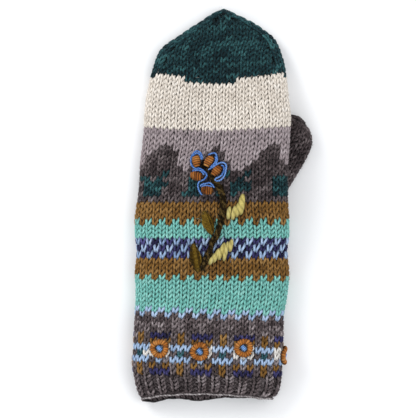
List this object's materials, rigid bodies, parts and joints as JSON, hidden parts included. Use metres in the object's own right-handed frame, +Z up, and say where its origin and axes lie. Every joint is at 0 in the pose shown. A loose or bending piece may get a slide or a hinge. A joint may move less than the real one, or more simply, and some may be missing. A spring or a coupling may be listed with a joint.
{
  "type": "wool mitten",
  "caption": "Hand-knitted stranded wool mitten with a ribbed cuff, patterned bands, an embroidered flower and coiled rosettes, lying palm down.",
  "frame": {"origin": "centre of the bounding box on the ground under the mitten", "axes": "+Y from the cuff to the fingertips, +X to the thumb side, +Z up through the embroidered back"},
  "size_m": [0.1252, 0.2726, 0.0361],
  "materials": {
    "charcoal_knit": "heathered wool yarn, knitted",
    "patterned_knit": "wool yarns in bands: turquoise, brown, navy, light blue, charcoal, mauve grey and cream",
    "teal_knit": "dark teal wool yarn, knitted",
    "rust_yarn": "rust yarn in bullion coils",
    "blue_yarn": "blue yarn, couched and knotted",
    "dark_fuzzy_yarn": "near-black brown fuzzy yarn",
    "pale_green_yarn": "pale yellow-green yarn, satin stitch",
    "olive_yarn": "olive brown yarn, satin stitch"
  },
  "bodies": {
    "root": {"cuff": "charcoal_knit", "wrist_band": "patterned_knit", "hand": "patterned_knit", "fingers": "patterned_knit", "tip": "teal_knit", "thumb": "charcoal_knit", "rosette_ring_1": "rust_yarn", "rosette_eye_1": "blue_yarn", "rosette_ring_2": "rust_yarn", "rosette_eye_2": "blue_yarn", "rosette_ring_3": "rust_yarn", "rosette_eye_3": "blue_yarn", "rosette_ring_4": "rust_yarn", "rosette_eye_4": "blue_yarn", "rosette_ring_5": "rust_yarn", "rosette_eye_5": "blue_yarn", "rosette_ring_6": "rust_yarn", "rosette_eye_6": "blue_yarn", "rosette_ring_7": "rust_yarn", "rosette_eye_7": "blue_yarn", "rosette_ring_8": "rust_yarn", "rosette_eye_8": "blue_yarn", "petal_1": "rust_yarn", "petal_edge_1": "blue_yarn", "petal_2": "rust_yarn", "petal_edge_2": "blue_yarn", "petal_3": "rust_yarn", "petal_edge_3": "blue_yarn", "petal_4": "rust_yarn", "petal_edge_4": "blue_yarn", "petal_5": "rust_yarn", "petal_edge_5": "blue_yarn", "flower_stem": "dark_fuzzy_yarn", "leaf_light_1": "pale_green_yarn", "leaf_dark_1": "olive_yarn", "leaf_light_2": "pale_green_yarn", "leaf_dark_2": "olive_yarn"}
  },
  "joints": []
}
